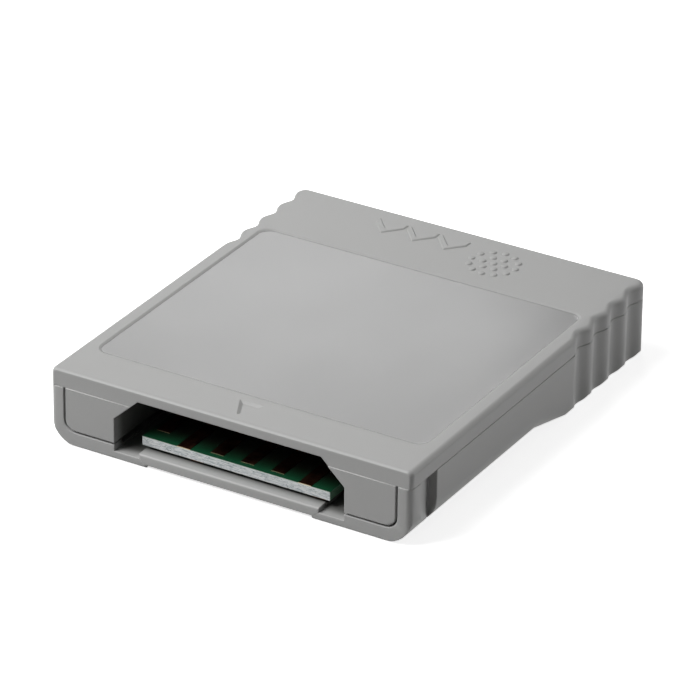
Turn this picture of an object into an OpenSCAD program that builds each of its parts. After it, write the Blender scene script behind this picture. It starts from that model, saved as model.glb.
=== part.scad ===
// Flash memory card adapter for a game console: two-part shell, edge connector
// board and card socket. Millimetres. +Z up, +Y from the connector end to the
// grip end, X across. The origin is the middle of the underside.

/* [Body] */
// overall width
body_w = 42; // [40.5:0.1:43.5]
// overall length from connector face to grip end
body_l = 48.9; // [48:0.1:49.8]
// overall height
body_h = 8.4; // [8.3:0.05:8.7]
// height at which the two shells meet
part_z = 6.45; // [6.3:0.01:6.6]
// side and end wall thickness
wall = 1.5; // [1.35:0.05:1.6]
// floor thickness of the lower shell
floor_t = 1.2; // [1.1:0.05:1.3]
// roof thickness of the upper shell
roof_t = 1.18; // [1.1:0.02:1.24]
// radius of the long lower edges
low_edge_r = 3.2; // [2.6:0.05:3.3]
// edge radius all round the top
top_edge_r = 0.6; // [0.4:0.05:0.6]
// radius of the upright corners at the connector end
front_corner_r = 0.7; // [0.65:0.05:1]
// edge radius of the lower long edges inside the grip
grip_edge_r = 0.7; // [0.66:0.02:0.74]
// radius of the lower edge at both ends
end_edge_r = 0.35; // [0.2:0.05:0.5]
// length over which the long lower edge sharpens
fade_l = 5.2; // [4:0.1:6]
// sharp stretch between that and the grip
fade_gap = 1.1; // [0.8:0.1:1.4]

/* [Grip flutes] */
// flutes on each side
flute_n = 4; // [3:1:5]
// spacing of the flutes
flute_pitch = 3.68; // [3.5:0.02:3.8]
// depth of a flute
flute_d = 0.55; // [0.4:0.05:0.6]
// distance of the last flute from the grip end
flute_back = 3; // [2.95:0.05:3.4]

/* [Label recess] */
// distance of the recess from the connector face
label_y = 5.35; // [5:0.05:6]
// length of the recess
label_l = 33.15; // [31:0.05:33.5]
// margin between the recess and each side
label_margin = 1.65; // [1.4:0.05:2]
// depth of the recess
label_d = 0.15; // [0.1:0.05:0.25]
// corner radius of the recess
label_r = 1.5; // [1:0.1:2]

/* [Connector opening] */
// width of the opening
open_w = 26.8; // [26.2:0.1:27.2]
// width of each slanted upper corner
open_cham_x = 2.75; // [2.3:0.05:2.9]
// height of each slanted upper corner
open_cham_z = 2.6; // [2.3:0.05:2.8]
// depth of the connector well
well_d = 11; // [10.6:0.1:11.4]
// thickness of the well walls
well_wall = 1; // [0.8:0.1:1.2]
// height of the rim below the front plates
rim_z = 1.62; // [1.54:0.02:1.68]
// gap round the front plates
plate_gap = 0.22; // [0.15:0.01:0.25]
// thickness of the outer posts of the front frame
post_w = 1.56; // [1.5:0.02:1.65]
// thickness of the front plates
plate_t = 1.3; // [1.1:0.05:1.5]
// radius of the outer lower corner of each plate
plate_r = 1.1; // [0.8:0.1:1.3]
// setback of the upper front band behind the plates
band_set = 0.12; // [0.06:0.02:0.18]
// half width of the ledge below the board
ledge_hw = 10.5; // [10.2:0.05:10.6]
// top of the ledge below the board
ledge_z = 1.48; // [1.4:0.02:1.52]
// floor height of the two side channels
channel_z = 0.95; // [0.85:0.05:1]
// length of the two side channels
channel_l = 9.5; // [8:0.1:9.8]
// width of the shallow relief under the front edge
relief_w = 19.4; // [18:0.1:20]
// length of the relief under the front edge
relief_l = 6; // [4:0.5:8]
// depth of the relief under the front edge
relief_d = 0.4; // [0.3:0.02:0.44]

/* [Latch notches] */
// start of the notch behind the connector face
notch_y = 1.75; // [1.6:0.05:2]
// length of the notch
notch_l = 3.3; // [3:0.1:3.6]
// depth of the notch at its steep end
notch_d = 1.05; // [0.8:0.05:1.1]
// thickening behind the notch
notch_back = 0.9; // [0.7:0.1:1]

/* [Circuit board] */
// board thickness
board_t = 1; // [0.9:0.05:1.1]
// height of the underside of the board
board_z = 1.72; // [1.68:0.01:1.78]
// distance of the tongue from the connector face
tongue_y = 1.45; // [1.35:0.05:1.6]
// width of the tongue
tongue_w = 21.94; // [21.5:0.02:22.2]
// gap between the wide part of the board and each side wall
board_gap = 1; // [0.9:0.05:1.4]
// board left beside the feet of the socket, and behind its shield
board_rim = 0.3; // [0.2:0.05:0.4]
// length of the wide part
board_wide_l = 21; // [19:0.1:22]
// contact plating thickness
pad_t = 0.05; // [0.03:0.01:0.08]
// contact pads on each face of the tongue
pad_n = 6; // [5:1:6]
// width of a contact pad
pad_w = 1.5; // [1.4:0.05:1.7]
// length of a contact pad
pad_l = 6.4; // [6:0.1:6.8]
// spacing of the contact pads
pad_pitch = 3.54; // [3.4:0.02:3.6]
// sideways shift of the upper row of pads
pad_shift = -0.8; // [-0.9:0.05:-0.7]
// setback of the signal pads from the board edge
pad_set = 0.7; // [0.6:0.05:0.8]
// further setback of the first pad
pad_set_first = 1.15; // [1:0.05:1.2]

/* [Card socket] */
// width of the card
card_w = 24; // [23.9:0.05:24.1]
// length of the card
card_l = 32; // [31.9:0.1:32.1]
// thickness of the card
card_t = 2.1; // [2.05:0.05:2.15]
// clearance round the card
card_gap = 0.2; // [0.15:0.01:0.25]
// how far the inserted card stands out of the grip end
card_out = 0.8; // [0.5:0.1:1.2]
// wall thickness of the socket body
base_t = 1; // [0.9:0.05:1.1]
// floor thickness of the socket body
base_floor = 0.35; // [0.3:0.01:0.4]
// depth of the block at the closed end of the socket
base_block = 1.8; // [1.6:0.1:2]
// length of the slotted floor that holds the contacts
base_comb = 8.5; // [8:0.1:9]
// sheet thickness of the shield
shield_t = 0.2; // [0.15:0.01:0.25]
// length of the shield
shield_l = 26; // [25:0.1:26.5]
// how far the shield stands back from the closed end of the socket body
shield_set = 0.6; // [0.4:0.1:0.8]
// width of the soldered feet of the shield
foot_w = 0.8; // [0.7:0.05:0.9]
// length of the soldered feet
foot_l = 2; // [1.6:0.1:2.4]
// distance of the feet from the ends of the shield
foot_in = 2.5; // [2:0.1:4]
// contact springs in the socket
contact_n = 9; // [9:1:9]
// spacing of the contact springs
contact_pitch = 2.5; // [2.4:0.05:2.5]
// width of a contact spring
contact_w = 0.7; // [0.6:0.05:0.8]
// sheet thickness of the springs
spring_t = 0.15; // [0.12:0.01:0.18]
// side clearance of a contact spring in its groove
contact_gap = 0.1; // [0.05:0.01:0.15]
// length of the rising finger of a contact spring
finger_l = 5.2; // [4.8:0.1:5.6]
// length of its turned-down tip
finger_tip = 0.9; // [0.7:0.1:1]
// how far a contact spring reaches into the card space
finger_up = 0.35; // [0.25:0.05:0.45]
// distance of the card detect spring from the closed end of the socket
detect_in = 9; // [8:0.5:10]
// distance of the write protect spring from the closed end of the socket
protect_in = 17; // [16:0.5:18]
// height of the two side springs above the socket floor
side_h = 1.4; // [1.2:0.1:1.5]
// length of the foot of a side spring
side_foot = 1.2; // [1:0.1:1.4]
// length of its arm
side_arm = 2.6; // [2.3:0.1:2.8]
// length of its tip
side_tip = 1.4; // [1.2:0.1:1.5]

/* [Fixing] */
// gap between a screw boss and the walls beside and behind it
boss_gap = 0.35; // [0.3:0.05:0.4]
// outer diameter of the screw bosses
boss_d = 4.2; // [4:0.1:4.3]
// height at which the bosses of the two shells meet
boss_meet = 3.6; // [3.2:0.1:4]
// shank diameter of the screw
shank_d = 1.6; // [1.5:0.05:1.7]
// head diameter of the screw
head_d = 3.2; // [3:0.1:3.3]
// head height of the screw
head_h = 1.1; // [1:0.05:1.2]
// depth of the head below the underside
head_sink = 0.5; // [0.3:0.05:0.6]
// radial clearance of the head and shank
screw_gap = 0.2; // [0.15:0.01:0.25]
// distance of the two locating pins from the side walls
pin_in = 3.3; // [3.1:0.1:3.5]
// distance of the pins from the front edge of the wide part of the board
pin_front = 2.1; // [1.9:0.1:2.3]
// diameter of the locating pins
pin_d = 1.6; // [1.4:0.1:1.8]
// radial clearance of the pins
pin_gap = 0.1; // [0.08:0.01:0.15]
// wall of the sleeves that take the pins
sleeve_t = 0.8; // [0.7:0.05:0.85]
// how far the pins stand above the board
pin_rise = 1.6; // [1.2:0.1:2]
// distance of the two ribs under the board from the middle
rib_x = 8; // [7:0.5:9]
// thickness of the ribs
rib_t = 1.2; // [1:0.1:1.4]
// height of the lip under the upper shell
lip_h = 0.8; // [0.6:0.1:1]
// thickness of the lip
lip_t = 0.7; // [0.6:0.05:0.8]
// clearance of the lip
lip_gap = 0.1; // [0.08:0.01:0.15]

/* [Small parts] */
// length of a soldered part
chip_l = 1.6; // [1.4:0.1:1.8]
// width of a soldered part
chip_w = 0.8; // [0.7:0.05:0.9]
// height of the capacitor
cap_h = 0.8; // [0.6:0.05:0.9]
// height of the resistors
res_h = 0.45; // [0.35:0.05:0.55]
// spacing of the resistors
res_pitch = 2.4; // [2:0.1:3]
// distance of the small parts from the side edges of the board
chip_in = 1.5; // [1.4:0.05:1.7]
// distance of the first ones from the locating pins
chip_back = 3.4; // [3:0.1:4]

/* [Hidden] */
$fn = 48;
eps = 1;
hw = body_w / 2;
in_hw = hw - wall;
roof_z = body_h - roof_t;
in_y0 = plate_t + plate_gap;
in_y1 = body_l - wall;
frame_hw = hw - post_w;
plate_hw = frame_hw - plate_gap;
open_hw = open_w / 2;
plate_z = rim_z + plate_gap;
grip_y = body_l - flute_back - flute_pitch * (flute_n - 0.5);
board_top = board_z + board_t;
wide_y0 = well_d + 0.5;
wide_y1 = wide_y0 + board_wide_l;
tongue_hw = tongue_w / 2;
board_hw = in_hw - board_gap;
sock_hw = card_w / 2 + card_gap;
base_hw = sock_hw + base_t;
card_z = board_top + base_floor + 0.1;
sock_top = card_z + card_t + card_gap;
card_y0 = body_l + card_out - card_l;
base_y0 = card_y0 - card_gap - base_block;
base_y1 = base_y0 + shield_l - shield_set;
shield_y0 = base_y0 + shield_set;
shield_y1 = shield_y0 + shield_l;
foot_hw = base_hw + shield_t + foot_w;
board_back_hw = foot_hw + board_rim;
board_y1 = shield_y1 + board_rim;
slot_hw = sock_hw;
slot_z0 = card_z - card_gap;
slot_z1 = card_z + card_t + card_gap;
screw_x = in_hw - boss_gap - boss_d / 2;
screw_y = in_y1 - boss_gap - boss_d / 2;
screw_seat = head_sink + head_h;
pin_x = in_hw - pin_in;
pin_y = wide_y0 + pin_front;
pin_top = board_top + pin_rise;
sleeve_d = pin_d + 2 * (pin_gap + sleeve_t);
chip_x = board_hw - chip_in;
chip_y = pin_y + chip_back;
tail_l = 1.1;
rest_y0 = tongue_y + pad_set + pad_l + 0.4;

// points of an arc about a centre
function arc(cx, cy, r, a0, a1, n) =
    [for (i = [0:n]) [cx + r * cos(a0 + (a1 - a0) * i / n), cy + r * sin(a0 + (a1 - a0) * i / n)]];

// rectangle with round corners, from x0, y0 to x1, y1
function round_rect(x0, y0, x1, y1, r, n) = concat(
    arc(x1 - r, y0 + r, r, -90, 0, n), arc(x1 - r, y1 - r, r, 0, 90, n),
    arc(x0 + r, y1 - r, r, 90, 180, n), arc(x0 + r, y0 + r, r, 180, 270, n));

// round corner between two straight sides, each point with its outward direction
function corner(cx, cy, r, a0, a1, n) =
    [for (i = [0:n]) let (a = a0 + (a1 - a0) * i / n) [cx + r * cos(a), cy + r * sin(a), cos(a), sin(a)]];

// point of the waved side of the grip, with its outward direction
function wave(y) =
    let (a = 360 * (y - grip_y) / flute_pitch,
        lean = -flute_d * PI / flute_pitch * sin(a),
        k = sqrt(1 + lean * lean))
    [hw - flute_d * (1 - cos(a)) / 2, y, 1 / k, -lean / k];

// right half of the plan outline, from the connector face to the grip end
wave_n = 10;
back_corner_r = flute_back - flute_pitch / 2;
function side() = concat(
    corner(hw - front_corner_r, front_corner_r, front_corner_r, -90, 0, 4),
    [for (i = [0:flute_n * wave_n - 1]) wave(grip_y + i * flute_pitch / wave_n)],
    corner(hw - back_corner_r, body_l - back_corner_r, back_corner_r, 0, 90, 6));
function mirrored(p) = [for (i = [len(p) - 1:-1:0]) [-p[i][0], p[i][1], -p[i][2], p[i][3]]];

// what is cut off to round an edge: the corner first, then round the arc, whose
// first and last facets run on past the two faces they leave
function edge_cut(cx, cz, sx, sz, r, n) =
    let (p = [for (i = [0:n]) [cx - sx * r * (1 - cos(90 * i / n)), cz - sz * r * (1 - sin(90 * i / n))]],
        u = p[0] + (p[0] - p[1]) * 0.3,
        v = p[n] + (p[n] - p[n - 1]) * 0.3)
    concat([[cx + sx * eps, cz + sz * eps], [cx + sx * eps, u[1]], u],
        [for (i = [1:n - 1]) p[i]], [v, [v[0], cz + sz * eps]]);
low_n = 8;
ring_n = len(edge_cut(0, 0, 1, 1, 1, low_n));
function ring(y, r) = [for (p = edge_cut(hw, 0, 1, -1, r, low_n)) [p[0], y, p[1]]];

// everything is built from the connector face at y = 0 and set on the origin here
module place() {
    translate([0, -body_l / 2, 0]) children();
}

// box from one corner to the other
module box(a, b) {
    translate(a) cube([b[0] - a[0], b[1] - a[1], b[2] - a[2]]);
}

// an x, z outline drawn out along y
module along_y(y0, y1) {
    translate([0, y1, 0]) rotate([90, 0, 0]) linear_extrude(height = y1 - y0) children();
}

// upright cylinder
module post(x, y, z0, z1, d) {
    translate([x, y, z0]) cylinder(d = d, h = z1 - z0);
}

// cutter along a long lower edge: full radius to the grip, then sharp
module low_edge_cutter() {
    rl = [low_edge_r, low_edge_r, grip_edge_r, grip_edge_r];
    ys = [-eps, grip_y - fade_gap - fade_l, grip_y - fade_gap, body_l + eps];
    polyhedron(
        points = [for (k = [0:3]) each ring(ys[k], rl[k])],
        faces = concat(
            [concat([0], [for (i = [ring_n - 1:-1:1]) i])],
            [for (k = [0:2]) for (i = [0:ring_n - 1])
                [k * ring_n + i, k * ring_n + (i + 1) % ring_n,
                    (k + 1) * ring_n + (i + 1) % ring_n, (k + 1) * ring_n + i]],
            [[for (i = [0:ring_n - 1]) 3 * ring_n + i]]));
}

// outer form of the whole body: waved plan, round top edge, rounded lower edges;
// its top and bottom are strips between points that face each other across the body
module envelope() {
    plan = concat(side(), mirrored(side()));
    n = len(plan);
    top_n = 4;
    insets = [0, for (i = [0:top_n]) top_edge_r * (1 - cos(90 * i / top_n))];
    heights = [0, for (i = [0:top_n]) body_h - top_edge_r * (1 - sin(90 * i / top_n))];
    difference() {
        polyhedron(
            points = [for (k = [0:top_n + 1]) for (p = plan)
                [p[0] - insets[k] * p[2], p[1] - insets[k] * p[3], heights[k]]],
            faces = concat(
                [for (i = [0:n / 2 - 2]) [i, i + 1, n - 2 - i, n - 1 - i]],
                [for (i = [0:n - 1]) [i, n + i, n + (i + 1) % n, (i + 1) % n]],
                [for (k = [1:top_n]) for (i = [0:n - 1])
                    [k * n + i, (k + 1) * n + i, (k + 1) * n + (i + 1) % n]],
                [for (k = [1:top_n]) for (i = [0:n - 1])
                    [k * n + i, (k + 1) * n + (i + 1) % n, k * n + (i + 1) % n]],
                [for (i = [0:n / 2 - 2]) let (a = (top_n + 1) * n)
                    [a + n - 1 - i, a + n - 2 - i, a + i + 1, a + i]]));
        low_edge_cutter();
        mirror([1, 0, 0]) low_edge_cutter();
        for (c = [[0, -1], [body_l, 1]]) {
            translate([-hw - eps, 0, 0]) rotate([90, 0, 90]) linear_extrude(height = body_w + 2 * eps)
                polygon(edge_cut(c[0], 0, c[1], -1, end_edge_r, 3));
        }
    }
}

// x, z outline of the connector opening down to a given height
module opening_outline(z0) {
    polygon([[-open_hw, z0], [open_hw, z0], [open_hw, roof_z - open_cham_z],
        [open_hw - open_cham_x, roof_z], [open_cham_x - open_hw, roof_z],
        [-open_hw, roof_z - open_cham_z]]);
}

// the two plates of the connector face, with the opening still to be cut
module plates_outline() {
    polygon(concat(arc(plate_hw - plate_r, plate_z + plate_r, plate_r, -90, 0, 5),
        [[plate_hw, part_z], [-plate_hw, part_z]],
        arc(plate_r - plate_hw, plate_z + plate_r, plate_r, 180, 270, 5)));
}

// inner lip that centres the upper shell in the lower one, on the right side
module lid_lip() {
    x1 = in_hw - lip_gap;
    box([x1 - lip_t, wide_y0, part_z - lip_h], [x1, grip_y, part_z + 0.1]);
    box([x1 - lip_t, wide_y0, part_z], [in_hw + 0.2, grip_y, roof_z + 0.3]);
}

module upper_shell() {
    color([0.72, 0.73, 0.74]) place() difference() {
        union() {
            difference() {
                intersection() {
                    envelope();
                    box([-hw - eps, band_set, part_z], [hw + eps, body_l + eps, body_h + eps]);
                }
                box([-in_hw, in_y0, part_z - eps], [in_hw, in_y1, roof_z]);
                translate([0, 0, body_h - label_d]) linear_extrude(height = eps)
                    polygon(round_rect(label_margin - hw, label_y, hw - label_margin,
                        label_y + label_l, label_r, 5));
            }
            along_y(0, plate_t) plates_outline();
            box([-open_hw - well_wall, 0.5, plate_z],
                [open_hw + well_wall, well_d, roof_z + 0.3]);
            lid_lip();
            mirror([1, 0, 0]) lid_lip();
            for (s = [-1, 1]) {
                post(s * screw_x, screw_y, boss_meet, roof_z + 0.3, boss_d);
                post(s * pin_x, pin_y, board_top, roof_z + 0.3, sleeve_d);
            }
        }
        along_y(-eps, well_d + eps) opening_outline(0);
        for (s = [-1, 1]) {
            post(s * screw_x, screw_y, boss_meet - eps, roof_z - 0.2, shank_d + 0.1);
            post(s * pin_x, pin_y, board_top - eps, pin_top + 0.2, pin_d + 2 * pin_gap);
        }
    }
}

// scooped notch for the latch of the console, open below, on the right side
module notch() {
    x1 = hw + eps;
    translate([0, 0, -eps]) linear_extrude(height = part_z + 2 * eps)
        polygon([[hw, notch_y], [hw - notch_d, notch_y + notch_l], [x1, notch_y + notch_l], [x1, notch_y]]);
}

module lower_shell() {
    color([0.70, 0.71, 0.72]) place() difference() {
        union() {
            difference() {
                intersection() {
                    envelope();
                    box([-hw - eps, -eps, -eps], [hw + eps, body_l + eps, part_z]);
                }
                along_y(in_y0, in_y1) polygon([[-in_hw + 1, floor_t], [in_hw - 1, floor_t],
                    [in_hw, floor_t + 1], [in_hw, part_z + eps], [-in_hw, part_z + eps],
                    [-in_hw, floor_t + 1]]);
                along_y(-eps, in_y0 + 0.1) polygon(concat(
                    arc(frame_hw - plate_r - plate_gap, rim_z + plate_r + plate_gap,
                        plate_r + plate_gap, -90, 0, 5),
                    [[frame_hw, part_z + eps], [-frame_hw, part_z + eps]],
                    arc(plate_r + plate_gap - frame_hw, rim_z + plate_r + plate_gap,
                        plate_r + plate_gap, 180, 270, 5)));
            }
            for (s = [-1, 1]) {
                box([s > 0 ? in_hw - notch_back : -in_hw - 0.2, in_y0 + 0.4, floor_t - 0.2],
                    [s > 0 ? in_hw + 0.2 : notch_back - in_hw, notch_y + notch_l + 1, part_z - lip_h - 0.2]);
                post(s * screw_x, screw_y, floor_t - 0.2, boss_meet, boss_d);
                post(s * pin_x, pin_y, floor_t - 0.2, board_z, sleeve_d);
                post(s * pin_x, pin_y, floor_t - 0.2, pin_top, pin_d);
                box([s * rib_x - rib_t / 2, rest_y0, floor_t - 0.2], [s * rib_x + rib_t / 2, board_y1 - 1, board_z]);
            }
        }
        for (s = [-1, 1]) {
            // step from the rim down to the ledge and the side channels
            box([s > 0 ? ledge_hw : -open_hw, -eps, channel_z],
                [s > 0 ? open_hw : -ledge_hw, channel_l, board_z]);
            post(s * screw_x, screw_y, -eps, screw_seat, head_d + 2 * screw_gap);
            post(s * screw_x, screw_y, 0, boss_meet + eps, shank_d + 2 * screw_gap);
        }
        box([-ledge_hw, -eps, ledge_z], [ledge_hw, 3, board_z + eps]);
        notch();
        mirror([1, 0, 0]) notch();
        box([-relief_w / 2, -eps, -eps], [relief_w / 2, relief_l, relief_d]);
        box([-slot_hw, in_y1 - eps, slot_z0], [slot_hw, body_l + eps, slot_z1]);
        along_y(body_l - 0.5, body_l + 0.5) polygon([[-slot_hw - 0.4, slot_z0 - 0.4],
            [slot_hw + 0.4, slot_z0 - 0.4], [slot_hw + 0.4, slot_z1 + 0.4], [-slot_hw - 0.4, slot_z1 + 0.4]]);
    }
}

module circuit_board() {
    color([0.07, 0.34, 0.20]) place() difference() {
        translate([0, 0, board_z]) linear_extrude(height = board_t) polygon([
            [-tongue_hw, tongue_y], [tongue_hw, tongue_y], [tongue_hw, wide_y0],
            [board_hw, wide_y0], [board_hw, wide_y1], [board_back_hw, wide_y1],
            [board_back_hw, board_y1], [-board_back_hw, board_y1], [-board_back_hw, wide_y1],
            [-board_hw, wide_y1], [-board_hw, wide_y0], [-tongue_hw, wide_y0]]);
        for (s = [-1, 1]) post(s * pin_x, pin_y, 0, body_h, pin_d + 2 * pin_gap);
    }
}

// setback of a pad: two of them reach the board edge, the first stands furthest back
function pad_front(i) = i == 0 ? pad_set + pad_set_first : i == 1 || i == pad_n - 1 ? 0 : pad_set;
module pads(shift, z) {
    for (i = [0:pad_n - 1]) {
        x = shift + (i - (pad_n - 1) / 2) * pad_pitch;
        box([x - pad_w / 2, tongue_y + pad_front(i), z],
            [x + pad_w / 2, tongue_y + pad_set + pad_l, z + pad_t]);
    }
}

module edge_contacts_top() {
    color([0.62, 0.38, 0.24]) place() pads(pad_shift, board_top);
}

module edge_contacts_bottom() {
    color([0.62, 0.38, 0.24]) place() pads(-pad_shift, board_z - pad_t);
}

module socket_shield() {
    x1 = base_hw + shield_t;
    color([0.80, 0.81, 0.82]) place() difference() {
        union() {
            box([-x1, shield_y0, board_top], [x1, shield_y1, sock_top + shield_t]);
            for (s = [-1, 1]) for (y = [shield_y0 + foot_in, shield_y1 - foot_in - foot_l]) {
                box([s > 0 ? base_hw : -foot_hw, y, board_top],
                    [s > 0 ? foot_hw : -base_hw, y + foot_l, board_top + shield_t]);
            }
        }
        box([-base_hw, shield_y0 - eps, board_top - eps], [base_hw, shield_y1 + eps, sock_top]);
        // two narrow windows over the rails and a wide one over the contacts
        for (x = [-window_x, window_x]) {
            box([x - window_w / 2, shield_y1 - window_in - window_l, sock_top - eps],
                [x + window_w / 2, shield_y1 - window_in, sock_top + eps]);
        }
        box([-wide_window / 2, shield_y0 + window_in, sock_top - eps],
            [wide_window / 2, shield_y0 + window_in + wide_window / 3, sock_top + eps]);
    }
}

// windows in the top of the shield
window_x = 7;
window_w = 2.4;
window_l = 6;
window_in = 3;
wide_window = 12;

// place of each contact spring across the socket
function contact_x(i) = (i - (contact_n + 1) / 2) * contact_pitch;

module socket_base() {
    y2 = base_y0 + base_block;
    color([0.09, 0.09, 0.10]) place() difference() {
        box([-base_hw, base_y0, board_top], [base_hw, base_y1, sock_top]);
        box([-sock_hw, y2, board_top + base_floor], [sock_hw, base_y1 + eps, sock_top + eps]);
        box([-sock_hw + 0.6, y2 + base_comb, board_top - eps],
            [sock_hw - 0.6, base_y1 + eps, sock_top + eps]);
        for (i = [1:contact_n]) {
            x = contact_x(i);
            box([x - contact_w / 2 - contact_gap, base_y0 - eps, board_top - eps],
                [x + contact_w / 2 + contact_gap, y2 + 0.1, board_top + spring_t]);
            box([x - contact_w / 2 - contact_gap, y2, board_top - eps],
                [x + contact_w / 2 + contact_gap, y2 + base_comb - 0.8, board_top + base_floor + eps]);
        }
        side_pocket(1, detect_y);
        side_pocket(-1, protect_y);
    }
}

// places of the two side springs
detect_y = base_y0 + detect_in;
protect_y = base_y0 + protect_in;
// a pocket clears its spring all round and leaves a thin wall outside
pocket_gap = 0.4;
pocket_l = side_foot + side_arm + side_tip + 2 * pocket_gap + 0.4;
pocket_wall = 0.2;
// how far a side spring reaches into the card space
side_reach = 0.5;

// pocket of a side spring in the rail of the socket
module side_pocket(s, y) {
    x1 = base_hw - pocket_wall;
    xi = sock_hw - side_reach - 0.2;
    box([s > 0 ? xi : -x1, y, board_top - eps],
        [s > 0 ? x1 : -xi, y + pocket_l, board_top + base_floor + side_h + 0.2]);
}

// one contact spring: soldered tail, straight run in its groove, raised finger
module contact(i) {
    t = spring_t;
    y0 = base_y0 - tail_l;
    y2 = base_y0 + base_block + 0.4;
    y3 = y2 + finger_l;
    z = board_top;
    up = card_z - board_top + finger_up;
    color([0.83, 0.68, 0.36]) place()
        translate([contact_x(i) - contact_w / 2, 0, 0]) rotate([90, 0, 90])
        linear_extrude(height = contact_w)
            polygon([[y0, z], [y2, z], [y3, z + up - t], [y3 + finger_tip, z + up - t - finger_up],
                [y3 + finger_tip, z + up - finger_up], [y3, z + up], [y2, z + t], [y0, z + t]]);
}
module socket_contact_1() { contact(1); }
module socket_contact_2() { contact(2); }
module socket_contact_3() { contact(3); }
module socket_contact_4() { contact(4); }
module socket_contact_5() { contact(5); }
module socket_contact_6() { contact(6); }
module socket_contact_7() { contact(7); }
module socket_contact_8() { contact(8); }
module socket_contact_9() { contact(9); }

// bent side spring that feels the card, right side; it stands on the board
module side_spring(y) {
    t = spring_t;
    x1 = base_hw - pocket_wall - contact_gap;
    xi = sock_hw - side_reach;
    y0 = y + pocket_gap;
    y1 = y0 + side_foot;
    y2 = y1 + side_arm;
    y3 = y2 + side_tip;
    translate([0, 0, board_top]) linear_extrude(height = base_floor + side_h)
        polygon([[x1, y0], [x1, y1], [xi + t, y2], [xi + t + 0.3, y3],
            [xi + 0.3, y3], [xi, y2], [x1 - t, y1], [x1 - t, y0]]);
}

module card_detect_spring() {
    color([0.83, 0.68, 0.36]) place() side_spring(detect_y);
}

module write_protect_spring() {
    color([0.83, 0.68, 0.36]) place() mirror([1, 0, 0]) side_spring(protect_y);
}

// small soldered part on the strip of board beside the socket
module chip(x, y, h) {
    box([x - chip_w / 2, y - chip_l / 2, board_top], [x + chip_w / 2, y + chip_l / 2, board_top + h]);
}

module decoupling_capacitor() {
    color([0.66, 0.55, 0.42]) place() chip(-chip_x, chip_y, cap_h);
}

module resistor_1() {
    color([0.12, 0.12, 0.13]) place() chip(chip_x, chip_y, res_h);
}

module resistor_2() {
    color([0.12, 0.12, 0.13]) place() chip(chip_x, chip_y + res_pitch, res_h);
}

module shell_screws() {
    color([0.55, 0.56, 0.58]) place() for (s = [-1, 1]) difference() {
        union() {
            post(s * screw_x, screw_y, head_sink, screw_seat, head_d);
            post(s * screw_x, screw_y, screw_seat - 0.1, roof_z - 0.8, shank_d);
        }
        for (a = [0, 90]) translate([s * screw_x, screw_y, head_sink - 0.1]) rotate([0, 0, a])
            box([-0.85, -0.2, 0], [0.85, 0.2, 0.7]);
    }
}

upper_shell();
lower_shell();
circuit_board();
edge_contacts_top();
edge_contacts_bottom();
socket_shield();
socket_base();
socket_contact_1();
socket_contact_2();
socket_contact_3();
socket_contact_4();
socket_contact_5();
socket_contact_6();
socket_contact_7();
socket_contact_8();
socket_contact_9();
card_detect_spring();
write_protect_spring();
decoupling_capacitor();
resistor_1();
resistor_2();
shell_screws();
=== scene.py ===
"""Memory card adapter: finishes, fine detail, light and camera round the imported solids."""
import math

import bmesh
import bpy
from mathutils import Matrix, Vector


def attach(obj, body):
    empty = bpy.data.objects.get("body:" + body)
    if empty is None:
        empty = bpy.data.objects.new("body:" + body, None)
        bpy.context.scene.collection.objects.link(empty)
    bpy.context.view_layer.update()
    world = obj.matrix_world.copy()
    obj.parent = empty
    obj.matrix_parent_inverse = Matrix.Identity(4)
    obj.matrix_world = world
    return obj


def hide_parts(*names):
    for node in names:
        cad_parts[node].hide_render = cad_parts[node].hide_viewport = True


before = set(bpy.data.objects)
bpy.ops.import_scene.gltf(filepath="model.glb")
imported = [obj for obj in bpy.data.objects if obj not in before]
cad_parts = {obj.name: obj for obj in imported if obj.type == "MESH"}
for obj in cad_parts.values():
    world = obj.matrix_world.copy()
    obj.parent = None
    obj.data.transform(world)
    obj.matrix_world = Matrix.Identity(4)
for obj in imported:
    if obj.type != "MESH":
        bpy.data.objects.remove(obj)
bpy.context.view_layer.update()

MM = 0.001
BODY_L = 48.9  # connector face to grip end
BODY_HW = 21.0  # half width
BODY_H = 8.4
PART_Z = 6.45  # parting line between the shells
BOARD_TOP = 2.72
SILL_Z = 1.48  # top of the sill below the opening
SILL_HW = 10.4

# Label recess, from the connector face, and how far its wall leans in
LABEL_HW = 19.35
LABEL_FRONT = 5.35
LABEL_BACK = 38.5
LABEL_Z = 8.25
LABEL_R = 1.5
LABEL_LEAN = 0.27

# Hollow behind the opening, where the shell is painted almost black as shade
WELL_HW = 14.45
WELL_LOW = 0.9
WELL_HIGH = 7.25

# Moulding radii and the angle from which an edge counts as sharp
SILL_RADIUS = 0.30
PARTING_RADIUS = 0.13
FACE_RADIUS = 0.10
BAND_RADIUS = 0.05
PLAIN_RADIUS = 0.06
FINE_RADIUS = 0.04
SHARP = math.radians(28)


def at(x, y, z):
    """A point given in mm from the connector face, in the row frame."""
    return Vector((x * MM, (y - BODY_L / 2) * MM, z * MM))


# Camera, fitted to the straight edges of the photograph
VIEW = (30.38, 27.705, 0.688)  # azimuth, elevation and roll in degrees
CAMERA_PLACE = (239.135, -384.214, 253.856)
FOCAL_PIXELS = 5220.4
FRAME_PIXELS = 700
SENSOR = 36


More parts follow.
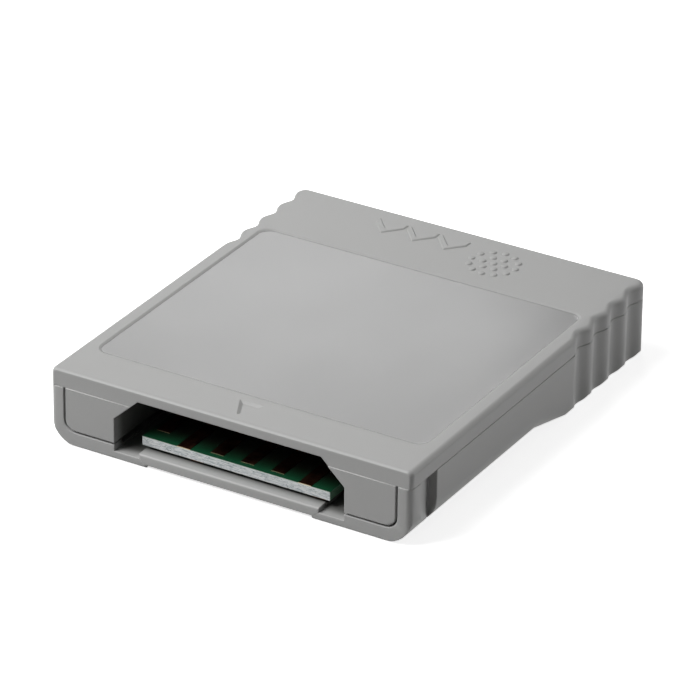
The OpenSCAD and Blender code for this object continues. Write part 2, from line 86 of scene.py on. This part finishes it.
def photo_camera():
    """The camera of the photograph, placed in the row frame."""
    azimuth, elevation, roll = (math.radians(angle) for angle in VIEW)
    back = Vector((math.sin(azimuth) * math.cos(elevation),
                   -math.cos(azimuth) * math.cos(elevation), math.sin(elevation)))
    right = Vector((math.cos(azimuth), math.sin(azimuth), 0))
    up = back.cross(right)
    turn = Matrix((right, up, back)).transposed().to_4x4() @ Matrix.Rotation(roll, 4, "Z")
    data = bpy.data.cameras.new("photo_camera")
    data.sensor_width = SENSOR
    data.lens = FOCAL_PIXELS / FRAME_PIXELS * SENSOR
    data.clip_start = 0.05
    data.clip_end = 20
    camera = bpy.data.objects.new("photo_camera", data)
    camera.matrix_world = Matrix.Translation(at(*CAMERA_PLACE)) @ turn
    bpy.context.scene.collection.objects.link(camera)
    bpy.context.scene.camera = camera


photo_camera()


# Finishes
class Tone:
    """A shader socket that takes part in Python sums; each sum adds a Math node."""

    def __init__(self, finish, socket):
        self.finish = finish
        self.socket = socket

    def maths(self, operation, *terms):
        return self.finish.node("ShaderNodeMath", dict(enumerate(terms)), operation=operation)

    def __add__(self, other):
        return self.maths("ADD", self, other)

    def __sub__(self, other):
        return self.maths("SUBTRACT", self, other)

    def __rsub__(self, other):
        return self.maths("SUBTRACT", other, self)

    def __mul__(self, other):
        return self.maths("MULTIPLY", self, other)

    def __gt__(self, other):
        return self.maths("GREATER_THAN", self, other)

    def __lt__(self, other):
        return self.maths("LESS_THAN", self, other)

    def __abs__(self):
        return self.maths("ABSOLUTE", self)

    __radd__ = __add__
    __rmul__ = __mul__

    def ramp(self, low, high):
        """0 at low, 1 at high, smooth between."""
        return self.finish.node("ShaderNodeMapRange", {0: self, 1: low, 2: high},
                                interpolation_type="SMOOTHSTEP")


class Finish:
    """A procedural material: a Principled shader and the nodes that feed it."""

    def __init__(self, name, **constants):
        self.material = bpy.data.materials.new(name)
        self.material.use_nodes = True
        self.tree = self.material.node_tree
        self.shader = self.tree.nodes["Principled BSDF"]
        for socket, value in constants.items():
            self.shader.inputs[socket.replace("_", " ").title().replace("Ior", "IOR")].default_value = value

    def node(self, kind, inputs=None, output=0, **settings):
        """A new node: its settings first, then the values or links of its sockets."""
        node = self.tree.nodes.new(kind)
        for name, value in settings.items():
            setattr(node, name, value)
        for name, value in (inputs or {}).items():
            if isinstance(value, Tone):
                self.tree.links.new(value.socket, node.inputs[name])
            else:
                node.inputs[name].default_value = value
        return Tone(self, node.outputs[output])

    def feed(self, **links):
        for name, tone in links.items():
            self.tree.links.new(tone.socket, self.shader.inputs[name.replace("_", " ")])
        return self

    def mm(self):
        """Object coordinates in millimetres."""
        return self.node("ShaderNodeVectorMath", {0: self.node("ShaderNodeTexCoord", output="Object"),
                                                  "Scale": 1000}, operation="SCALE")

    def axes(self, place):
        split = self.node("ShaderNodeSeparateXYZ", {0: place})
        return [Tone(self, split.socket.node.outputs[i]) for i in range(3)]

    def stretch(self, place, x, y, z):
        return self.node("ShaderNodeVectorMath", {0: place, 1: (x, y, z)}, operation="MULTIPLY")

    def noise(self, place, scale, detail=3, rough=0.5):
        return self.node("ShaderNodeTexNoise", {"Vector": place, "Scale": scale, "Detail": detail,
                                                "Roughness": rough})

    def blend(self, factor, low, high):
        """Colour from low to high."""
        low, high = (c if isinstance(c, Tone) else (*c, 1) for c in (low, high))
        return self.node("ShaderNodeMix", {0: factor, 6: low, 7: high}, output=2, data_type="RGBA")

    def bump(self, height, strength, distance):
        return self.node("ShaderNodeBump", {"Strength": strength, "Distance": distance * MM,
                                            "Height": height})


def shell_plastic():
    """Moulded grey plastic, spark-eroded outside, smoother in the label recess, and painted almost black as
    shade in the hollow behind the opening.
    """
    f = Finish("shell_plastic", specular_ior_level=0.5)
    place = f.mm()
    x, y, z = f.axes(place)
    y = y + BODY_L / 2
    edge, skin = 0.2, 0.02
    inside = ((abs(x) < LABEL_HW - edge) * (y > LABEL_FRONT + edge) * (y < LABEL_BACK - edge)
              * (z > LABEL_Z - edge) * (z < LABEL_Z + skin))
    # Painted shade: mask of the hollow behind the opening, where the colour turns almost black
    well_painted_shade = (y.ramp(0.3, 1.8) * (y < BODY_L - 1.4) * (abs(x) < WELL_HW)
            * (z > WELL_LOW) * (z < WELL_HIGH))
    cloud = f.noise(place, 0.09, 2)
    grain = f.noise(place, 7.0, 2, 0.6)
    fine = f.noise(place, 19.0, 1)
    speck = f.noise(place, 2.6, 4, 0.7).ramp(0.66, 0.74)
    shade = (cloud - 0.5) * 0.10 + (grain - 0.5) * 0.12 * (1 - inside * 0.6)
    colour = f.blend(shade + 0.5, (0.375, 0.376, 0.372), (0.475, 0.475, 0.468))
    colour = f.blend(speck * 0.10, colour, (0.25, 0.25, 0.25))
    smooth = f.blend(shade + 0.5, (0.226, 0.227, 0.225), (0.276, 0.276, 0.273))
    colour = f.blend(inside, colour, smooth)
    # Painted shade: near-black colour inside the hollow behind the opening
    colour = f.blend(well_painted_shade * 0.86, colour, (0.060, 0.061, 0.055))
    rough = 0.46 - inside * 0.24 + (grain - 0.5) * 0.12 + (cloud - 0.5) * 0.08 + well_painted_shade * 0.3
    height = grain * (1 - inside * 0.75) + fine * 0.5 * (1 - inside * 0.6)
    return f.feed(Base_Color=colour, Roughness=rough, Normal=f.bump(height, 0.35, 0.02)).material


def board_finish():
    """Green solder mask above and below, with painted shade that darkens it deeper in, cut glass fibre
    round the edge.
    """
    f = Finish("board_mask", specular_ior_level=0.5)
    place = f.mm()
    y, z = f.axes(place)[1:]
    # Painted shade: how far in from the connector face, for darkening the mask
    depth = (y + BODY_L / 2).ramp(1.4, 4.8)
    lip = (z > BOARD_TOP - 0.13) * (z < BOARD_TOP + 0.1)
    way = f.axes(f.node("ShaderNodeNewGeometry", output="Normal"))
    flat = abs(way[2]) > 0.7
    front = abs(way[1]) > 0.6
    tone = f.noise(place, 0.5, 3)
    weave = f.node("ShaderNodeTexWave", {"Vector": place, "Scale": 1.1, "Distortion": 0.6, "Detail": 2.0},
                   wave_type="BANDS", bands_direction="X")
    mask = f.blend(tone * 0.7 + weave * 0.15, (0.006, 0.060, 0.025), (0.014, 0.125, 0.053))
    # Painted shade: the mask turns near black deeper inside the opening
    mask = f.blend(depth * 0.95, mask, (0.020, 0.018, 0.014))
    strands = f.noise(f.stretch(place, 1.1, 1.1, 9.0), 1.0, 5, 0.7)
    knots = f.noise(f.stretch(place, 4.5, 4.5, 7.0), 1.0, 3, 0.6)
    cut = f.blend(strands.ramp(0.36, 0.62), (0.56, 0.62, 0.63), (0.98, 1.0, 1.0))
    cut = f.blend(knots.ramp(0.56, 0.70) * 0.55, cut, (1.0, 1.0, 0.98))
    cut = f.blend(knots.ramp(0.40, 0.30) * 0.6, cut, (0.10, 0.15, 0.15))
    cut = f.blend(lip * 0.6, cut, (0.80, 0.86, 0.80))
    side = f.blend(strands.ramp(0.3, 0.7), (0.10, 0.22, 0.14), (0.22, 0.40, 0.27))
    rim = f.blend(front, side, cut)
    colour = f.blend(flat, rim, mask)
    rough = 0.75 - flat * 0.45 + (tone - 0.5) * 0.15
    height = strands * (1 - flat) + weave * flat * 0.2
    return f.feed(Base_Color=colour, Roughness=rough, Normal=f.bump(height, 0.5, 0.05)).material


def metal(name, low, high, rough, streak):
    """Plated or rolled metal with fine streaks along one axis and a little tarnish."""
    f = Finish(name, metallic=1.0)
    place = f.mm()
    stain = f.noise(place, 0.7, 4, 0.65)
    lines = f.noise(f.stretch(place, *streak), 3.0, 2)
    colour = f.blend(stain.ramp(0.35, 0.7), low, high)
    return f.feed(Base_Color=colour, Roughness=rough + (lines - 0.5) * 0.25 + (stain - 0.5) * 0.2,
                  Normal=f.bump(lines, 0.15, 0.01)).material


def contact_plating():
    """Red-brown pads, coloured dark as a painted reflection of the dark hollow, with a painted highlight
    along their front ends.
    """
    f = Finish("contact_plating", metallic=1.0)
    place = f.mm()
    stain = f.noise(place, 0.9, 4, 0.65)
    lines = f.noise(f.stretch(place, 6, 0.6, 1), 3.0, 2)
    # Painted reflection: the pads are coloured dark for the dark hollow they mirror; the stain noise varies
    # it
    colour = f.blend(stain.ramp(0.35, 0.7), (0.10, 0.035, 0.022), (0.22, 0.10, 0.06))
    # Painted highlight: the front-facing ends of the pads turn pale cream
    way = f.axes(f.node("ShaderNodeNewGeometry", output="Normal"))
    front = (abs(way[1]) > 0.6) * (f.axes(place)[2] > BOARD_TOP - 0.3)
    colour = f.blend(front * 0.9, colour, (0.80, 0.66, 0.42))
    return f.feed(Base_Color=colour, Roughness=0.42 + (lines - 0.5) * 0.25 + (stain - 0.5) * 0.2,
                  Normal=f.bump(lines, 0.15, 0.01)).material


def dark_plastic(name, low, high, rough=0.5):
    """Small moulded or coated part: dark, faintly mottled."""
    f = Finish(name)
    place = f.mm()
    mottle = f.noise(place, 3.5, 3)
    return f.feed(Base_Color=f.blend(mottle.ramp(0.3, 0.7), low, high),
                  Roughness=rough + (mottle - 0.5) * 0.2,
                  Normal=f.bump(f.noise(place, 14.0, 2), 0.2, 0.01)).material


SHELL = shell_plastic()
BOARD = board_finish()
PLATING = contact_plating()
SPRING = metal("spring_plating", (0.62, 0.45, 0.20), (0.86, 0.68, 0.36), 0.30, (5, 0.6, 1))
SHIELD = metal("shield_steel", (0.52, 0.53, 0.55), (0.74, 0.75, 0.76), 0.32, (0.5, 6, 1))
SCREW = metal("screw_steel", (0.30, 0.31, 0.33), (0.50, 0.51, 0.53), 0.38, (3, 3, 3))
SOCKET = dark_plastic("socket_plastic", (0.012, 0.012, 0.014), (0.035, 0.035, 0.038))
CERAMIC = dark_plastic("chip_ceramic", (0.30, 0.22, 0.14), (0.45, 0.35, 0.24), 0.4)
COATED = dark_plastic("chip_coating", (0.012, 0.012, 0.012), (0.04, 0.04, 0.045), 0.35)


# Pieces
def piece_from(bm, name, finish, slot, *stands_for):
    """Turns a bmesh into a piece that rides on the one body."""
    mesh = bpy.data.meshes.new(name)
    bm.to_mesh(mesh)
    bm.free()
    mesh.materials.clear()
    mesh.materials.append(finish)
    piece = bpy.data.objects.new(name, mesh)
    bpy.context.scene.collection.objects.link(piece)
    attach(piece, "root")
    if stands_for:
        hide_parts(*stands_for)
    return piece


def merged_copy(node):
    """A bmesh of a CAD node with its doubles merged."""
    bm = bmesh.new()
    bm.from_mesh(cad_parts[node].data)
    bmesh.ops.remove_doubles(bm, verts=bm.verts, dist=2e-7)
    return bm


def leaning_block(bm, outline, z0, z1, lean, depth):
    """A block drawn from an outline at z0 to z1, then on by a depth with walls that lean inwards."""
    face = bm.faces.new([bm.verts.new(at(x, y, z0)) for x, y in outline])
    bm.normal_update()
    drawn = bmesh.ops.extrude_face_region(bm, geom=[face], use_keep_orig=True)["geom"]
    bmesh.ops.translate(bm, vec=(0, 0, (z1 - z0) * MM),
                        verts=[v for v in drawn if isinstance(v, bmesh.types.BMVert)])
    end = [f for f in drawn if isinstance(f, bmesh.types.BMFace)]
    bm.normal_update()
    bmesh.ops.inset_region(bm, faces=end, thickness=lean * MM, depth=depth * MM, use_even_offset=True)
    bmesh.ops.recalc_face_normals(bm, faces=bm.faces)


def slope_label_wall(bm):
    """Leans the wall of the label recess by moving its floor outline inwards."""
    for vert in bm.verts:
        if abs(vert.co.z / MM - LABEL_Z) > 0.01:
            continue
        x, y = vert.co.x / MM, vert.co.y / MM + BODY_L / 2
        core = Vector((max(LABEL_R - LABEL_HW, min(LABEL_HW - LABEL_R, x)),
                       max(LABEL_FRONT + LABEL_R, min(LABEL_BACK - LABEL_R, y))))
        out = Vector((x, y)) - core
        if out.length > LABEL_R / 2:
            inner = core + out * (1 - LABEL_LEAN / out.length)
            vert.co = at(inner.x, inner.y, LABEL_Z)


def cut_with(bm, cutter):
    """The bmesh minus the cutter, as a new bmesh of triangles."""
    holders = []
    for name, part in (("uncut", bm), ("cutter", cutter)):
        mesh = bpy.data.meshes.new(name)
        part.to_mesh(mesh)
        part.free()
        holders.append(bpy.data.objects.new(name, mesh))
        bpy.context.scene.collection.objects.link(holders[-1])
    body, tool = holders
    cut = body.modifiers.new("cut", "BOOLEAN")
    cut.operation = "DIFFERENCE"
    cut.solver = "EXACT"
    cut.object = tool
    bpy.context.view_layer.update()
    result = bmesh.new()
    result.from_mesh(body.evaluated_get(bpy.context.evaluated_depsgraph_get()).to_mesh())
    bmesh.ops.triangulate(result, faces=result.faces)
    for holder in holders:
        mesh = holder.data
        bpy.data.objects.remove(holder)
        bpy.data.meshes.remove(mesh)
    return result


def moulding_radius(x, y, z):
    """Radius of a sharp edge of the shells by its place: widest on the sill, then along the
    parting line outside and on the connector face, least where that line meets the face."""
    near = 0.03
    parting = abs(z - PART_Z) < 0.02
    if y < 0.2 and parting:
        return BAND_RADIUS
    if y < near:
        return SILL_RADIUS if abs(z - SILL_Z) < near and abs(x) < SILL_HW else FACE_RADIUS
    if parting and (abs(x) > BODY_HW - 0.8 or y > BODY_L - 0.4):
        return PARTING_RADIUS
    return PLAIN_RADIUS


def mark_edges(bm):
    """Writes the radius of each sharp edge of a shell as its share of the widest."""
    layer = bm.edges.layers.float.new("bevel_weight_edge")
    for edge in bm.edges:
        if len(edge.link_faces) == 2 and edge.calc_face_angle() > SHARP:
            middle = (edge.verts[0].co + edge.verts[1].co) / 2 / MM
            edge[layer] = moulding_radius(middle.x, middle.y + BODY_L / 2, middle.z) / SILL_RADIUS
    return bm


def soft_edges(piece, width, marked=False):
    """Small moulding radius on every sharp edge, or on the marked ones."""
    for face in piece.data.polygons:
        face.use_smooth = True
    bevel = piece.modifiers.new("moulding_radius", "BEVEL")
    bevel.width = width * MM
    bevel.segments = 2
    bevel.limit_method = "WEIGHT" if marked else "ANGLE"
    bevel.angle_limit = SHARP
    bevel.use_clamp_overlap = False
    bevel.miter_outer = "MITER_ARC"
    normals = piece.modifiers.new("flat_faces_lead", "WEIGHTED_NORMAL")
    normals.weight = 100
    normals.keep_sharp = False


def upper_shell():
    """The upper shell with its label wall leaning and the triangle that points to the connector."""
    bm = merged_copy("upper_shell")
    slope_label_wall(bm)
    cutter = bmesh.new()
    middle, half, tip, back = 0.22, 1.45, 1.3, 4.3
    above, skin, lean, depth = 0.3, 0.01, 0.32, 0.28
    leaning_block(cutter, ((middle, tip), (middle - half, back), (middle + half, back)),
                  BODY_H + above, BODY_H + skin, lean, depth + skin)
    return cut_with(bm, cutter)


for node, bm in (("upper_shell", upper_shell()), ("lower_shell", merged_copy("lower_shell"))):
    shell = piece_from(mark_edges(bm), node + "_dressed", SHELL, "shell_plastic", node)
    soft_edges(shell, SILL_RADIUS, marked=True)


def grip_relief():
    """Raised grip marks: three chevrons that point to the connector and a round field of studs."""
    bm = bmesh.new()
    sunk, rise, lean = 0.05, 0.14, 0.12
    tip, arm, slant, bar = 43.6, 1.75, 2.0, 1.1
    for x in (-8.1, -4.3, -0.5):
        outline = ((x, tip), (x + arm, tip + slant), (x + arm, tip + slant + bar),
                   (x, tip + bar), (x - arm, tip + slant + bar), (x - arm, tip + slant))
        leaning_block(bm, outline, BODY_H - sunk, BODY_H, lean, rise)
    centre_x, centre_y, radius, ring_step = 5.6, 43.6, 0.42, 1.3
    for ring, count in enumerate((1, 6, 12)):
        for k in range(count):
            turn, out = math.tau * k / count, ring * ring_step
            middle = at(centre_x + out * math.cos(turn), centre_y + out * math.sin(turn),
                        BODY_H + (rise - sunk) / 2)
            bmesh.ops.create_cone(bm, cap_ends=True, segments=16, radius1=radius * MM,
                                  radius2=(radius - lean) * MM, depth=(sunk + rise) * MM,
                                  matrix=Matrix.Translation(middle))
    return bm


soft_edges(piece_from(grip_relief(), "grip_relief", SHELL, "shell_plastic"), FINE_RADIUS)

board = piece_from(merged_copy("circuit_board"), "circuit_board_dressed", BOARD, "board", "circuit_board")
soft_edges(board, FINE_RADIUS)

FINISHES = {"edge_contacts_top": PLATING, "edge_contacts_bottom": PLATING, "socket_shield": SHIELD,
            "socket_base": SOCKET, "card_detect_spring": SPRING, "write_protect_spring": SPRING,
            "decoupling_capacitor": CERAMIC, "resistor_1": COATED, "resistor_2": COATED,
            "shell_screws": SCREW}
for name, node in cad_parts.items():
    finish = SPRING if name.startswith("socket_contact") else FINISHES.get(name)
    if finish:
        node.data.materials.clear()
        node.data.materials.append(finish)


# Stage and light
def stage_floor():
    """White for the camera and in reflections, grey for the light it sends back up.
    Its emission, seen only by the camera and in reflections, keeps the shadow faint."""
    bm = bmesh.new()
    bmesh.ops.create_grid(bm, x_segments=1, y_segments=1, size=3.0)
    mesh = bpy.data.meshes.new("floor")
    bm.to_mesh(mesh)
    bm.free()
    floor = bpy.data.objects.new("floor", mesh)
    floor.location.z = -0.01 * MM
    bpy.context.scene.collection.objects.link(floor)
    f = Finish("floor_white", roughness=0.9, specular_ior_level=0.0)
    path = f.node("ShaderNodeLightPath", output="Is Camera Ray")
    glossy = Tone(f, path.socket.node.outputs["Is Glossy Ray"])
    through = Tone(f, path.socket.node.outputs["Is Transmission Ray"])
    seen = path.maths("MAXIMUM", path.maths("MAXIMUM", path, glossy), through)
    f.shader.inputs["Emission Strength"].default_value = 1.0
    f.feed(Base_Color=f.blend(seen, (0.16, 0.16, 0.16), (0.93, 0.93, 0.93)),
           Emission_Color=f.blend(seen, (0, 0, 0), (0.74, 0.74, 0.74)))
    mesh.materials.append(f.material)


def soft_box(name, aim, distance, width, height, watts, target=(0, 0, 0)):
    """A rectangular lamp that looks at a target near the middle of the object."""
    data = bpy.data.lights.new(name, "AREA")
    data.shape = "RECTANGLE"
    data.size = width
    data.size_y = height
    data.energy = watts
    lamp = bpy.data.objects.new(name, data)
    aim = Vector(aim).normalized()
    lamp.location = Vector(target) * MM + aim * distance
    lamp.rotation_euler = aim.to_track_quat("Z", "Y").to_euler()
    bpy.context.scene.collection.objects.link(lamp)


def studio_light():
    """A world that is white for the camera and dim for the object, and three soft boxes."""
    world = bpy.data.worlds.new("studio")
    bpy.context.scene.world = world
    world.use_nodes = True
    nodes, links = world.node_tree.nodes, world.node_tree.links
    room = nodes["Background"]
    room.inputs[0].default_value = (1, 1, 1, 1)
    room.inputs[1].default_value = 0.12
    white = nodes.new("ShaderNodeBackground")
    white.inputs[0].default_value = (1, 1, 1, 1)
    white.inputs[1].default_value = 1.0
    path = nodes.new("ShaderNodeLightPath")
    mix = nodes.new("ShaderNodeMixShader")
    links.new(path.outputs["Is Camera Ray"], mix.inputs[0])
    links.new(room.outputs[0], mix.inputs[1])
    links.new(white.outputs[0], mix.inputs[2])
    links.new(mix.outputs[0], nodes["World Output"].inputs[0])
    soft_box("key_box", (-0.50, -0.41, 0.77), 0.45, 0.28, 0.28, 2.10)
    soft_box("side_box", (0.66, 0.70, 0.28), 1.0, 0.4, 0.3, 2.15)
    soft_box("sheen_box", (-0.448, 0.764, 0.465), 0.26, 0.08, 0.06, 0.048, (-16, 9, 8))
    bpy.context.scene.view_settings.view_transform = "Standard"


stage_floor()
studio_light()
